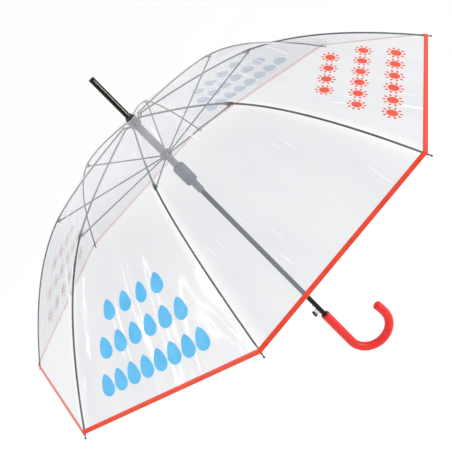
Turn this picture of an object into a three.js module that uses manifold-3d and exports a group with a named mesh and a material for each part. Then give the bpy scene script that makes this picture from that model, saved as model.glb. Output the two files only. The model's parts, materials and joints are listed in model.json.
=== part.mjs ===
// Clear dome umbrella: eight ribs, an automatic runner and a crook handle.
// Millimetres. +Z runs up the shaft to the ferrule, and the origin is on the shaft's axis
// at the top of the handle. Rib n stands at azimuth 45 * n degrees from +X.
import * as THREE from "three";
import { mergeVertices } from "three/addons/utils/BufferGeometryUtils.js";
import Module from "manifold-3d";

const wasm = await Module();
wasm.setup();

// Driving dimensions
const ribCount = 8;
const ribStep = (2 * Math.PI) / ribCount;
const clearance = 0.3;
const canopyRadius = 503;
const rimHeight = 327.7;

// Shaft
const shaftRadius = 5;
const shaftBore = 4.2;
const shaftBottom = -58;
const shaftTop = 590.3;
const shaftFit = shaftRadius + clearance;
const pinSlotWidth = 2.4;

// Folding linkage: both lengths are equal and both pivot circles have one radius,
// so the runner's pivots stay on their circle while the ribs fold.
const pivotRadius = 8.5;
const notchPivotHeight = 571;
const jointRadius = 238;
const jointHeight = 529.5;
const runnerPivotHeight = 2 * jointHeight - notchPivotHeight;
const linkLength = Math.hypot(jointRadius - pivotRadius, notchPivotHeight - jointHeight);
const openAngle = Math.atan2(jointRadius - pivotRadius, notchPivotHeight - jointHeight);
const foldAngle = THREE.MathUtils.degToRad(77);
const runnerTravel = 2 * linkLength * (Math.cos(openAngle - foldAngle) - Math.cos(openAngle));

// Ribs and stretchers
const ribWireRadius = 1.5;
const ribStart = new THREE.Vector2(20, 579.5);
const ribStartSlope = THREE.MathUtils.degToRad(-8);
const ribJointSlope = THREE.MathUtils.degToRad(-20.5);
const ribRimSlope = THREE.MathUtils.degToRad(-47.5);
const ribTipReach = 6.5;
const tipBallRadius = 2.2;
const jointDrop = 4;
const flexGap = 0.45;
const stretcherRadius = 1.2;
const eyeRadius = 1.9;
const eyeHole = 1;
const bladeThickness = 1.8;
const bracketLength = 17;
const bracketHeight = 2.2;
const bracketWaist = 4;
const bracketDepth = 5.7;
const bracketPlate = 0.7;
const bracketInside = 1.85;
const bracketPinRadius = 0.7;
const ringWireRadius = 0.6;

// Film and hem
const filmLift = ribWireRadius + 0.45;
const filmThickness = 0.3;
const filmHole = 5.6;
const filmTop = 581.6;
const hemWidth = 8;
const hemThickness = 1.2;

// Notch, crown and stop sleeve
const hubRadius = 11.5;
const hubCore = 6.5;
const hubSlot = 2.6;
const tunnelRadius = 0.95;
const notchBottom = 566;
const notchShoulder = 577.3;
const notchTop = 581.2;
const notchTopRadius = 10;
const stopSleeveRadius = 7.3;
const stopSleeveBottom = 494.6;
const stopSleeveTop = 565;
const stopWindowHeight = 554;
const stopWindowTurn = Math.PI / 3;

// Runner
const runnerBore = 5.5;
const neckRadius = 6;
const runnerTubeRadius = 7.4;
const sleeveRadius = 12.5;
const runnerBottom = 389;
const sleeveBottom = 414;
const sleeveTop = 458;
const crownBottom = 482;
const crownTop = 494;
const crownFloor = crownBottom + 3;
const pinHeight = 436;
const pinRadius = 0.9;
const pinLength = 7.1;
const followerRadius = 3.8;
const followerHalf = 4;

// Handle and button
const crookTurn = THREE.MathUtils.degToRad(95.4);
const buttonTurn = crookTurn + Math.PI;
const gripRadius = 9.7;
const crookRadius = 47;
const crookCentreHeight = -93;
const crookCurlRadius = 150;
const crookCurl = THREE.MathUtils.degToRad(10);
const crookTipFlatness = 0.5;
const buttonHeight = 17;
const buttonCapRadius = 14.2;
const stemWidth = 4;
const stemWindow = 4.7;
const latchHeight = 33.75;
const ringRadius = 8.9;
const ringHeight = 2.2;

// Coil springs: mean radius, wire radius and turns
const driveCoil = [3, 0.4, 12];
const cushionCoil = [6.8, 0.45, 5];
const buttonCoil = [1.4, 0.25, 4];

// Ferrule, its collar and the washer on the film
const plugBottom = 576;
const plugRadius = 3.9;
const ferruleBase = 591;
const ferruleTop = 685.5;
const ferruleRadius = 5.6;
const collarBottom = 584.2;
const collarTop = 590.7;
const collarRadius = 9.7;
const collarNeck = 7.1;
const washerBottom = 582.3;
const washerTop = 583.9;
const washerRadius = 13;

const colours = {
  blackSteel: ["#2b2c30", 0.35, 0.7],
  nickel: ["#3d3a38", 0.2, 0.9],
  blackPlastic: ["#16171a", 0.4, 0],
  clearPlastic: ["#e8eef0", 0.15, 0],
  greyPlastic: ["#5a5f6b", 0.35, 0],
  wire: ["#a9adb2", 0.3, 0.9],
  spring: ["#8f949a", 0.3, 0.9],
  ribSteel: ["#4b4d52", 0.35, 0.8],
  film: ["#eef3f6", 0.08, 0],
  grip: ["#ff3b30", 0.3, 0],
  gripRing: ["#8e1418", 0.4, 0],
  whitePlastic: ["#e9e7e0", 0.4, 0],
};

function finish(name) {
  const [color, roughness, metalness] = colours[name];
  return new THREE.MeshStandardMaterial({ color, roughness, metalness });
}

// A closed three.js geometry as a manifold solid.
function toSolid(geometry) {
  const bare = geometry.clone();
  bare.deleteAttribute("normal");
  bare.deleteAttribute("uv");
  const merged = mergeVertices(bare, 1e-4);
  return new wasm.Manifold(new wasm.Mesh({
    numProp: 3,
    vertProperties: new Float32Array(merged.attributes.position.array),
    triVerts: new Uint32Array(merged.index.array),
  }));
}

function toGeometry(solid) {
  const mesh = solid.getMesh();
  const geometry = new THREE.BufferGeometry();
  geometry.setAttribute("position", new THREE.BufferAttribute(new Float32Array(mesh.vertProperties), 3));
  geometry.setIndex(new THREE.BufferAttribute(new Uint32Array(mesh.triVerts), 1));
  geometry.computeVertexNormals();
  return geometry;
}

// Joins the first list of geometries and cuts the second list out of them.
function joinAndCut(joined, cut = []) {
  let solid = toSolid(joined[0]);
  for (const geometry of joined.slice(1)) {
    solid = solid.add(toSolid(geometry));
  }
  for (const geometry of cut) {
    solid = solid.subtract(toSolid(geometry));
  }
  return toGeometry(solid);
}

// A turned piece about Z. The outline lists [radius, height] counter-clockwise and closes itself.
function turned(outline, segments = 20) {
  const closed = [...outline, outline[0]];
  const points = closed.map(([radius, height]) => new THREE.Vector2(radius, height));
  return new THREE.LatheGeometry(points, segments).rotateX(Math.PI / 2);
}

function ringOutline(inner, outer, bottom, top) {
  return [[inner, bottom], [outer, bottom], [outer, top], [inner, top]];
}

// A box given by its size, its centre and a turn about Z.
function block(sizeX, sizeY, sizeZ, x, y, z, turn = 0) {
  return new THREE.BoxGeometry(sizeX, sizeY, sizeZ).translate(x, y, z).rotateZ(turn);
}

// A round section swept along a curve.
function swept(curve, radius, steps, curveSegments = 3) {
  const section = new THREE.Shape();
  section.absarc(0, 0, radius, 0, 2 * Math.PI);
  return new THREE.ExtrudeGeometry(section, {
    steps,
    curveSegments,
    bevelEnabled: false,
    extrudePath: curve,
  });
}

// A point of a rib's upright plane, turned into space at azimuth 0.
function inRibPlane(point) {
  return new THREE.Vector3(point.x, 0, point.y);
}

function along(point, slope, distance) {
  return new THREE.Vector2(point.x + distance * Math.cos(slope), point.y + distance * Math.sin(slope));
}

// The curve that leaves one point at one slope and reaches the other at the second slope.
function bowedCurve(start, startSlope, end, endSlope) {
  const run = end.x - start.x;
  const rise = end.y - start.y;
  const toCorner = (rise - Math.tan(endSlope) * run) / (Math.tan(startSlope) - Math.tan(endSlope));
  const corner = new THREE.Vector2(start.x + toCorner, start.y + Math.tan(startSlope) * toCorner);
  return new THREE.QuadraticBezierCurve(start, corner, end);
}

function ribPlaneCurve(curve) {
  return new THREE.QuadraticBezierCurve3(inRibPlane(curve.v0), inRibPlane(curve.v1), inRibPlane(curve.v2));
}

// A flat bar in the rib's plane between two points.
function bar(from, to, height, thickness) {
  const length = from.distanceTo(to);
  const slope = Math.atan2(to.y - from.y, to.x - from.x);
  return new THREE.BoxGeometry(length, thickness, height)
    .rotateY(-slope)
    .translate((from.x + to.x) / 2, 0, (from.y + to.y) / 2);
}

// A round disc or pin whose axis lies across the rib's plane.
function crossDisc(centre, radius, thickness, segments = 10) {
  return new THREE.CylinderGeometry(radius, radius, thickness, segments).translate(centre.x, 0, centre.y);
}

const notchPivot = new THREE.Vector2(pivotRadius, notchPivotHeight);
const stretcherJoint = new THREE.Vector2(jointRadius, jointHeight);
const runnerPivot = new THREE.Vector2(pivotRadius, runnerPivotHeight);
const flexPoint = along(stretcherJoint, ribJointSlope + Math.PI / 2, jointDrop);
const rimPoint = new THREE.Vector2(canopyRadius, rimHeight);

// A flat outline in the rib's plane, given a thickness across it.
function flatPlate(outline, thickness, holes = []) {
  const shape = new THREE.Shape(outline);
  shape.holes = holes.map((hole) => new THREE.Path(hole));
  return new THREE.ExtrudeGeometry(shape, { depth: thickness, bevelEnabled: false })
    .rotateX(Math.PI / 2)
    .translate(0, thickness / 2, 0);
}

function arcPoints(centre, radius, from, to, steps) {
  const points = [];
  for (let step = 0; step <= steps; step += 1) {
    points.push(along(centre, from + ((to - from) * step) / steps, radius));
  }
  return points;
}

// A flat eye round a pivot, with a blade that reaches to the given point.
function eyeBlade(pivot, target, halfWidth, hole) {
  const slope = Math.atan2(target.y - pivot.y, target.x - pivot.x);
  const quarter = Math.PI / 2;
  const outline = arcPoints(pivot, eyeRadius, slope + quarter * 0.7, slope + quarter * 3.3, 5);
  outline.push(along(target, slope - quarter, halfWidth), along(target, slope + quarter, halfWidth));
  return flatPlate(outline, bladeThickness, [arcPoints(pivot, hole, 0, 1.75 * Math.PI, 7)]);
}

// Inner length of a rib: eye, bowed wire, and the bracket that holds the stretcher's pin.
function ribInner() {
  const end = along(flexPoint, ribJointSlope, -flexGap);
  const curve = bowedCurve(ribStart, ribStartSlope, end, ribJointSlope);
  const wire = swept(ribPlaneCurve(curve), ribWireRadius, 7);
  const root = along(ribStart, ribStartSlope, 2);
  const outside = 2 * (bracketInside + bracketPlate);
  const halfLength = bracketLength / 2;
  const half = bracketHeight / 2;
  const corners = [
    [-halfLength, half], [-halfLength, -half], [-bracketWaist, -half], [-1.3, -bracketDepth],
    [1.3, -bracketDepth], [bracketWaist, -half],
    [halfLength - 1, -half], [halfLength - 1, half],
  ];
  const plateOutline = corners.map(([forward, up]) =>
    along(along(flexPoint, ribJointSlope, forward), ribJointSlope + Math.PI / 2, up));
  const saddleStart = along(flexPoint, ribJointSlope, -halfLength);
  const saddleEnd = along(flexPoint, ribJointSlope, -bracketWaist);
  const joined = [
    wire,
    eyeBlade(notchPivot, root, 1.2, eyeHole),
    bar(saddleStart, saddleEnd, bracketHeight, outside),
    crossDisc(stretcherJoint, bracketPinRadius, outside, 6),
  ];
  for (const side of [-1, 1]) {
    const offset = side * (bracketInside + bracketPlate / 2);
    joined.push(flatPlate(plateOutline, bracketPlate).translate(0, offset, 0));
  }
  return joinAndCut(joined);
}

// Outer length of a rib, which bows with the film, and the ball on its tip.
function ribOuter() {
  const start = along(flexPoint, ribJointSlope, flexGap);
  const curve = bowedCurve(start, ribJointSlope, rimPoint, ribRimSlope);
  const wire = swept(ribPlaneCurve(curve), ribWireRadius, 9);
  const tip = along(rimPoint, ribRimSlope, ribTipReach);
  const overlap = along(rimPoint, ribRimSlope, -1);
  const tipWire = swept(new THREE.LineCurve3(inRibPlane(overlap), inRibPlane(tip)), ribWireRadius, 1, 2);
  const ball = new THREE.SphereGeometry(tipBallRadius, 7, 5).translate(tip.x, 0, tip.y);
  return joinAndCut([wire, tipWire, ball]);
}

// A straight stretcher with a flat eye at each end.
function stretcher() {
  const slope = Math.atan2(stretcherJoint.y - runnerPivot.y, stretcherJoint.x - runnerPivot.x);
  const inner = along(runnerPivot, slope, 5);
  const outer = along(stretcherJoint, slope, -5);
  const rod = swept(new THREE.LineCurve3(inRibPlane(inner), inRibPlane(outer)), stretcherRadius, 1);
  return joinAndCut([
    rod,
    eyeBlade(runnerPivot, along(inner, slope, 3), 1, eyeHole),
    eyeBlade(stretcherJoint, along(outer, slope, -3), 1, eyeHole + 0.1),
  ]);
}

// Points of a curve, moved square to it by the given distance.
function offsetPoints(curve, distance, steps) {
  const points = [];
  for (let step = 0; step <= steps; step += 1) {
    const point = curve.getPoint(step / steps);
    const tangent = curve.getTangent(step / steps);
    points.push([point.x - tangent.y * distance, point.y + tangent.x * distance]);
  }
  return points;
}

// One rib's share of the eight-sided canopy: the film from mid-gore to mid-gore.
function canopyShare(lowerLine, upperLine) {
  const outline = [...upperLine].reverse().concat(lowerLine);
  const shell = turned(outline, ribCount);
  const reach = 2 * canopyRadius;
  const wedge = new THREE.Shape([
    new THREE.Vector2(clearance / 2 / Math.sin(ribStep / 2), 0),
    new THREE.Vector2(reach, -reach * Math.tan(ribStep / 2) + clearance / 2 / Math.cos(ribStep / 2)),
    new THREE.Vector2(reach, reach * Math.tan(ribStep / 2) - clearance / 2 / Math.cos(ribStep / 2)),
  ]);
  const prism = new THREE.ExtrudeGeometry(wedge, { depth: reach, bevelEnabled: false });
  return toGeometry(toSolid(shell).intersect(toSolid(prism)));
}

function canopyUpper() {
  const end = along(flexPoint, ribJointSlope, -clearance / 2);
  const curve = bowedCurve(ribStart, ribStartSlope, end, ribJointSlope);
  const lower = [[filmHole, filmTop], ...offsetPoints(curve, filmLift, 5)];
  const upper = [[filmHole, filmTop + filmThickness], ...offsetPoints(curve, filmLift + filmThickness, 5)];
  return canopyShare(lower, upper);
}

function canopyLower() {
  const start = along(flexPoint, ribJointSlope, clearance / 2);
  const hemTop = along(rimPoint, ribRimSlope, -hemWidth);
  const curve = bowedCurve(start, ribJointSlope, hemTop, ribRimSlope);
  const hem = new THREE.LineCurve(hemTop, rimPoint);
  const lower = [...offsetPoints(curve, filmLift, 6), ...offsetPoints(hem, filmLift, 1).slice(1)];
  const film = offsetPoints(curve, filmLift + filmThickness, 6);
  const binding = offsetPoints(hem, filmLift + hemThickness, 1);
  return canopyShare(lower, [...film, ...binding]);
}

function ringWire(height) {
  return new THREE.TorusGeometry(pivotRadius, ringWireRadius, 5, 24).translate(0, 0, height);
}

// A hub with one slot for each rib or stretcher and a round tunnel for the ring wire.
function slottedHub(outline, pivotHeight, slotBottom, slotTop) {
  const cuts = [new THREE.TorusGeometry(pivotRadius, tunnelRadius, 6, 24).translate(0, 0, pivotHeight)];
  for (let index = 0; index < ribCount; index += 1) {
    const length = hubRadius;
    cuts.push(block(length, hubSlot, slotTop - slotBottom, hubCore + length / 2, 0,
      (slotTop + slotBottom) / 2, index * ribStep));
  }
  return joinAndCut([turned(outline, 24)], cuts);
}

function topNotch() {
  const outline = [
    [shaftFit, notchBottom], [hubRadius, notchBottom], [hubRadius, notchShoulder],
    [notchTopRadius, notchShoulder], [notchTopRadius, notchTop], [shaftFit, notchTop],
  ];
  return slottedHub(outline, notchPivotHeight, notchBottom - 1, notchShoulder);
}

function runnerCrown() {
  const outline = [
    [runnerBore, crownBottom], [hubRadius - 1, crownBottom], [hubRadius, crownBottom + 1],
    [hubRadius, crownTop], [runnerBore, crownTop],
  ];
  return slottedHub(outline, runnerPivotHeight, crownFloor, crownTop + 1);
}

// Shaft tube with its long pin slot, the latch window and the button's hole.
function shaftTube() {
  const tube = turned(ringOutline(shaftBore, shaftRadius, shaftBottom, shaftTop));
  const slotTop = pinHeight + 1.8;
  const slotBottom = pinHeight - runnerTravel - 1.8;
  return joinAndCut([tube], [
    block(4, pinSlotWidth, slotTop - slotBottom, shaftRadius, 0, (slotTop + slotBottom) / 2, buttonTurn),
    block(4, stemWindow, 7.3, shaftRadius, 0, latchHeight, buttonTurn),
    block(4, stemWindow, 11.4, shaftRadius, 0, buttonHeight, buttonTurn),
  ]);
}

function stopSleeve() {
  const sleeve = turned(ringOutline(shaftFit, stopSleeveRadius, stopSleeveBottom, stopSleeveTop));
  return joinAndCut([sleeve], [block(6, 3, 11, stopSleeveRadius, 0, stopWindowHeight, stopWindowTurn)]);
}

function ferruleSpike() {
  return turned([
    [0, plugBottom], [plugRadius - 0.3, plugBottom], [plugRadius, plugBottom + 1],
    [plugRadius, ferruleBase], [ferruleRadius, ferruleBase],
    [ferruleRadius, ferruleTop - 1], [ferruleRadius - 0.8, ferruleTop], [0, ferruleTop],
  ]);
}

function ferruleCollar() {
  return turned([
    [shaftFit, collarBottom], [collarRadius, collarBottom], [collarRadius, collarBottom + 2],
    [collarNeck + 0.3, collarTop - 2.3], [collarNeck, collarTop], [shaftFit, collarTop],
  ]);
}

function canopyWasher() {
  return turned([
    [shaftFit, washerBottom], [washerRadius, washerBottom], [washerRadius, washerTop - 0.8],
    [washerRadius - 3, washerTop], [shaftFit, washerTop],
  ]);
}

// The runner's tube: thin neck above, with the button's slot, the latch window and the pin hole.
function runnerTube() {
  const tube = turned([
    [runnerBore, runnerBottom], [runnerTubeRadius, runnerBottom], [runnerTubeRadius, sleeveTop],
    [neckRadius, sleeveTop], [neckRadius, crownBottom - clearance], [runnerBore, crownBottom - clearance],
  ]);
  const pinHoleRadius = pinRadius + 0.4;
  const pinHole = new THREE.CylinderGeometry(pinHoleRadius, pinHoleRadius, 6, 12).rotateZ(Math.PI / 2)
    .translate(runnerTubeRadius, 0, pinHeight).rotateZ(buttonTurn);
  const cutDepth = 8;
  return joinAndCut([tube], [
    block(cutDepth, 7.2, 24, runnerTubeRadius, 0, runnerBottom + 10, buttonTurn),
    block(cutDepth, 5.4, 7, runnerTubeRadius, 0, latchHeight + runnerTravel, buttonTurn),
    pinHole,
  ]);
}

function runnerSleeve() {
  const bore = runnerTubeRadius + clearance;
  return turned([
    [bore, sleeveBottom], [sleeveRadius - 1.2, sleeveBottom], [sleeveRadius, sleeveBottom + 2],
    [sleeveRadius, sleeveTop - 3], [sleeveRadius - 2.5, sleeveTop], [bore, sleeveTop],
  ]);
}

function springFollower() {
  const outline = ringOutline(0, followerRadius, pinHeight - followerHalf, pinHeight + followerHalf);
  const body = turned(outline, 16);
  const pin = new THREE.CylinderGeometry(pinRadius, pinRadius, pinLength, 10).rotateZ(Math.PI / 2)
    .translate(pinLength / 2, 0, pinHeight).rotateZ(buttonTurn);
  return joinAndCut([body, pin]);
}

// A helix about an axis along Z, from the bottom height to the top height.
class Helix extends THREE.Curve {
  constructor(radius, bottom, top, turns) {
    super();
    Object.assign(this, { radius, bottom, top, turns });
  }

  getPoint(t) {
    const angle = 2 * Math.PI * this.turns * t;
    return new THREE.Vector3(
      this.radius * Math.cos(angle),
      this.radius * Math.sin(angle),
      this.bottom + (this.top - this.bottom) * t,
    );
  }
}

function coil([radius, wire, turns], bottom, top, stepsPerTurn = 7) {
  return swept(new Helix(radius, bottom, top, turns), wire, turns * stepsPerTurn, 2);
}

function buttonSpring() {
  return coil(buttonCoil, 0, 4.1).rotateY(-Math.PI / 2).translate(0.6, 0, buttonHeight).rotateZ(buttonTurn);
}

// Button stem: plunger, the lever inside the shaft, and the latch tooth at its upper end.
function buttonStem() {
  const plunger = block(8.6, stemWidth, 10.6, 7, 0, buttonHeight);
  const lever = block(2.2, stemWidth, 24.6, 2.1, 0, 24.2);
  const tooth = new THREE.Shape([
    new THREE.Vector2(2, -2.75),
    new THREE.Vector2(6.5, -2.75),
    new THREE.Vector2(6.5, -1.5),
    new THREE.Vector2(2, 2.75),
  ]);
  const wedge = new THREE.ExtrudeGeometry(tooth, { depth: stemWidth, bevelEnabled: false })
    .rotateX(Math.PI / 2).translate(0, stemWidth / 2, latchHeight);
  return joinAndCut([plunger, lever, wedge]).rotateZ(buttonTurn);
}

function buttonGuide() {
  const outer = block(3, 6.4, 13, 6.9, 0, buttonHeight);
  const tunnel = block(6, stemWindow, 11.3, 6.9, 0, buttonHeight);
  return joinAndCut([outer], [tunnel]).rotateZ(buttonTurn);
}

function buttonCap() {
  const face = new THREE.Shape();
  const halfLength = 2;
  const radius = 4.6;
  face.absarc(halfLength, 0, radius, -Math.PI / 2, Math.PI / 2);
  face.absarc(-halfLength, 0, radius, Math.PI / 2, 1.5 * Math.PI);
  return new THREE.ExtrudeGeometry(face, {
    depth: 3.6,
    curveSegments: 6,
    bevelThickness: 0.7,
    bevelSize: 0.7,
    bevelSegments: 1,
  }).rotateZ(Math.PI / 2).translate(0, 0, -1.8).rotateX(Math.PI / 2).rotateZ(Math.PI / 2)
    .translate(buttonCapRadius, 0, buttonHeight).rotateZ(buttonTurn);
}

// The crook: straight grip, half circle and a short curl in to a round end.
function handle() {
  const bends = 22;
  const points = [new THREE.Vector3(0, 0, -clearance), new THREE.Vector3(0, 0, crookCentreHeight)];
  for (let index = 1; index <= bends; index += 1) {
    const angle = (Math.PI * index) / bends;
    points.push(new THREE.Vector3(
      crookRadius * (1 - Math.cos(angle)),
      0,
      crookCentreHeight - crookRadius * Math.sin(angle),
    ));
  }
  const curlCentre = 2 * crookRadius - crookCurlRadius;
  const curls = 2;
  for (let index = 1; index <= curls; index += 1) {
    const angle = (crookCurl * index) / curls;
    points.push(new THREE.Vector3(
      curlCentre + crookCurlRadius * Math.cos(angle),
      0,
      crookCentreHeight + crookCurlRadius * Math.sin(angle),
    ));
  }
  const tip = points[points.length - 1];
  const grip = swept(new THREE.CatmullRomCurve3(points, false, "centripetal"), gripRadius, 28, 7);
  const end = new THREE.SphereGeometry(gripRadius, 14, 8).scale(1, 1, crookTipFlatness)
    .rotateY(-crookCurl).translate(tip.x, tip.y, tip.z);
  const boreBottom = shaftBottom - clearance;
  const bore = turned([[0, boreBottom], [shaftFit, boreBottom], [shaftFit, 4], [0, 4]]);
  return joinAndCut([grip, end], [bore]).rotateZ(crookTurn);
}

function handleRing() {
  return turned([
    [shaftFit, 0], [ringRadius, 0], [ringRadius, ringHeight - 0.8], [ringRadius - 0.7, ringHeight],
    [shaftFit, ringHeight],
  ]);
}

const umbrella = new THREE.Group();

function add(name, geometry, finishName, turn = 0) {
  const mesh = new THREE.Mesh(geometry, finish(finishName));
  mesh.name = name;
  mesh.rotation.z = turn;
  umbrella.add(mesh);
}

add("shaft_tube", shaftTube(), "blackSteel");
add("ferrule_spike", ferruleSpike(), "nickel");
add("ferrule_collar", ferruleCollar(), "blackPlastic");
add("canopy_washer", canopyWasher(), "clearPlastic");
add("top_notch", topNotch(), "greyPlastic");
add("notch_wire", ringWire(notchPivotHeight), "wire");
add("stop_sleeve", stopSleeve(), "greyPlastic");
add("drive_spring", coil(driveCoil, pinHeight + followerHalf + 1, plugBottom - 1), "spring");
add("handle", handle(), "grip");
add("handle_ring", handleRing(), "gripRing");
add("button_guide", buttonGuide(), "whitePlastic");
add("button_stem", buttonStem(), "whitePlastic");
add("button_cap", buttonCap(), "blackPlastic");
add("button_spring", buttonSpring(), "spring");
add("runner_crown", runnerCrown(), "greyPlastic");
add("runner_wire", ringWire(runnerPivotHeight), "wire");
add("runner_tube", runnerTube(), "greyPlastic");
add("runner_sleeve", runnerSleeve(), "greyPlastic");
add("runner_spring", coil(cushionCoil, sleeveTop + 0.8, crownBottom - 0.8, 12), "spring");
add("spring_follower", springFollower(), "blackPlastic");

const repeated = [
  ["rib_inner", ribInner(), "ribSteel"],
  ["rib_outer", ribOuter(), "ribSteel"],
  ["stretcher", stretcher(), "ribSteel"],
  ["canopy_upper", canopyUpper(), "film"],
  ["canopy_lower", canopyLower(), "film"],
];
for (const [name, geometry, finishName] of repeated) {
  for (let rib = 1; rib <= ribCount; rib += 1) {
    add(`${name}_${rib}`, geometry, finishName, rib * ribStep);
  }
}

export default umbrella;
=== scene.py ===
"""Clear dome umbrella: the looks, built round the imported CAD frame.

Lengths are millimetres, and make_object turns them into metres. The camera's and the lights' places,
and names that end in _M, are metres.
"""
import bisect
import json
import math
import random

import bpy
from mathutils import Matrix, Vector


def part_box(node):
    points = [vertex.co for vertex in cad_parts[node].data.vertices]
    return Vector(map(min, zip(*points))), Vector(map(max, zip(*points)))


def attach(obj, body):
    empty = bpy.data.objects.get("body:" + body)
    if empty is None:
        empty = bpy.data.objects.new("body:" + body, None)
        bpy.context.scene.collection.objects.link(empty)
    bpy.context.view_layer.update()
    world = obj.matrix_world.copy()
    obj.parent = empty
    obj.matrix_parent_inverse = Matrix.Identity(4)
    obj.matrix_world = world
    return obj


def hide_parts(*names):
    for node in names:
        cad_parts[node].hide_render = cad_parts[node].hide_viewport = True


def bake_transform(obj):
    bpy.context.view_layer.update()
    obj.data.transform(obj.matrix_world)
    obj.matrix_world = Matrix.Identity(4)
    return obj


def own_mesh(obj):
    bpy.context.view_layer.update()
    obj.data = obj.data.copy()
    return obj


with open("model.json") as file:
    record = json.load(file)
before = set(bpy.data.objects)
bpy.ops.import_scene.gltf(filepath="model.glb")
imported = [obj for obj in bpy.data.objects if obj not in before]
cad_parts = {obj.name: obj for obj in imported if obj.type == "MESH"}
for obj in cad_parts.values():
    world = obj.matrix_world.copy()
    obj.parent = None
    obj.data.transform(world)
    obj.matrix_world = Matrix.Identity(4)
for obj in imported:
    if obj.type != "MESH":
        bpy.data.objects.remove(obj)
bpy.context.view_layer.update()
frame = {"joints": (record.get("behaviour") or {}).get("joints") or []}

MM = 0.001
RIBS = 8
STEP = 2 * math.pi / RIBS
HALF = STEP / 2
UP = Vector((0, 0, 1))


# ---------------------------------------------------------------- sizes from the frame

def joint_named(name):
    return next(j for j in frame["joints"] if j["name"] == name)


def joint_place(name):
    """A joint's distance from the shaft's axis and its height."""
    x, y, z = joint_named(name)["pos_m"]
    return Vector((math.hypot(x, y), z)) / MM


def node_box(name):
    low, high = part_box(name)
    return Vector(low) / MM, Vector(high) / MM


def heights(name):
    """The heights of a CAD node's lowest and highest points."""
    low, high = node_box(name)
    return low.z, high.z


NOTCH_PIVOT = joint_place("rib_fold_1")
STRETCHER_JOINT = joint_place("stretcher_pivot_1")
FLEX = joint_place("rib_flex_1")
RUNNER_PIVOT = joint_place("runner_slide_pivot")
BUTTON_JOINT = joint_named("button_press")
BUTTON_AXIS = Vector(BUTTON_JOINT["axis"])
BUTTON_TURN = math.atan2(-BUTTON_AXIS.y, -BUTTON_AXIS.x)
CROOK_TURN = BUTTON_TURN + math.pi
CROWN_LOW, CROWN_HIGH = heights("runner_crown")
WASHER_LOW, WASHER_HIGH = heights("canopy_washer")
SHAFT_LOW, SHAFT_HIGH = heights("shaft_tube")
FOLLOWER_MIDDLE = sum(heights("spring_follower")) / 2
GUIDE_MIDDLE = sum(heights("button_guide")) / 2
STEM_TOP = heights("button_stem")[1]
TIP_LOW, TIP_HIGH = node_box("rib_outer_8")

# The rib's bowed line and its tip, and the film that lies FILM_LIFT above it.
RIB_START = Vector((20, NOTCH_PIVOT.y + 8.5))
START_SLOPE = math.radians(-8)
JOINT_SLOPE = math.radians(-20.5)
RIM_SLOPE = math.radians(-47.5)
TIP_BALL = 2.2
TIP_REACH = 6.5
TIP = Vector((TIP_HIGH.x - TIP_BALL, TIP_LOW.z + TIP_BALL))
RIM = Vector((TIP.x - TIP_REACH * math.cos(RIM_SLOPE), TIP.y - TIP_REACH * math.sin(RIM_SLOPE)))
FILM_LIFT = 2.1
HEM_WIDTH = 8
PRINT_TOP = 0.35
PRINT_BASE = 0.12
CLEAR_SHARE = 1 / 8  # of a half gore's width, beside a rib, over which the film clears: painted shade, where the rib keeps light from behind off the film's haze
UPPER_CLEAR = 0.8  # how milky the film over the inner ribs is on the rib itself, 1 being the most, which keeps that painted rib shade faint near the hub
GORE_SHIFT = 7.3  # sets the gores' noise patterns apart
MOUTH_RADIUS = 5.6  # of the film's hole under the washer
MOUTH_DROP = 0.35  # of that hole's edge below the washer
TRAVEL = 383.0  # the runner's, down the shaft

# The crook: a grip, a half circle about CROOK_CENTRE's height, a slight curl and a rounded end.
CROOK_RADIUS = 47
GRIP_RADIUS = 9.7
CROOK_CENTRE = -93
CURL_RADIUS = 150
CURL = math.radians(10)
CROOK_END = GRIP_RADIUS * 0.5


# ---------------------------------------------------------------- mesh helpers

def make_object(name, points, faces, crease=40):
    """A mesh object from points in millimetres, shaded smooth up to the crease angle."""
    mesh = bpy.data.meshes.new(name)
    mesh.from_pydata([Vector(p) * MM for p in points], [], faces)
    mesh.validate()
    mesh.update()
    obj = bpy.data.objects.new(name, mesh)
    bpy.context.scene.collection.objects.link(obj)
    shade(obj, crease)
    return obj


def shade(obj, crease=40):
    obj.data.shade_smooth()
    obj.data.set_sharp_from_angle(angle=math.radians(crease))


def rounded(outline, radius, steps=3):
    """The closed outline with an arc in place of each corner."""
    result = []
    count = len(outline)
    for index in range(count):
        before = Vector(outline[index - 1])
        corner = Vector(outline[index])
        after = Vector(outline[(index + 1) % count])
        to_before = before - corner
        to_after = after - corner
        reach = min(radius, to_before.length * 0.45, to_after.length * 0.45)
        if corner.x <= 1e-6 or reach < 0.02:
            result.append(corner)
            continue
        first = corner + to_before.normalized() * reach
        last = corner + to_after.normalized() * reach
        for step in range(steps + 1):
            t = step / steps
            result.append(first * (1 - t) ** 2 + corner * 2 * t * (1 - t) + last * t ** 2)
    return result


def lathe(name, outline, segments=72, crease=40):
    """A closed outline of (radius, height) turned about the shaft's axis, counter-clockwise."""
    points = []
    rings = []
    for radius, height in outline:
        ring = []
        if radius <= 1e-6:
            ring = [len(points)] * segments
            points.append((0, 0, height))
        else:
            for index in range(segments):
                angle = 2 * math.pi * index / segments
                ring.append(len(points))
                points.append((radius * math.cos(angle), radius * math.sin(angle), height))
        rings.append(ring)
    faces = []
    for index, ring in enumerate(rings):
        following = rings[(index + 1) % len(rings)]
        for side in range(segments):
            other = (side + 1) % segments
            face = [ring[side], ring[other], following[other], following[side]]
            face = list(dict.fromkeys(face))
            if len(face) > 2:
                faces.append(face)
    return make_object(name, points, faces, crease)


def wrap(rows, size):
    """Faces that join closed rows of points, one row after another, with a cap at both ends."""
    faces = []
    for first in range(0, (rows - 1) * size, size):
        for k in range(size):
            other = (k + 1) % size
            faces.append([first + k, first + other, first + size + other, first + size + k])
    return faces + [list(range(size))[::-1], list(range((rows - 1) * size, rows * size))]


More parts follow.
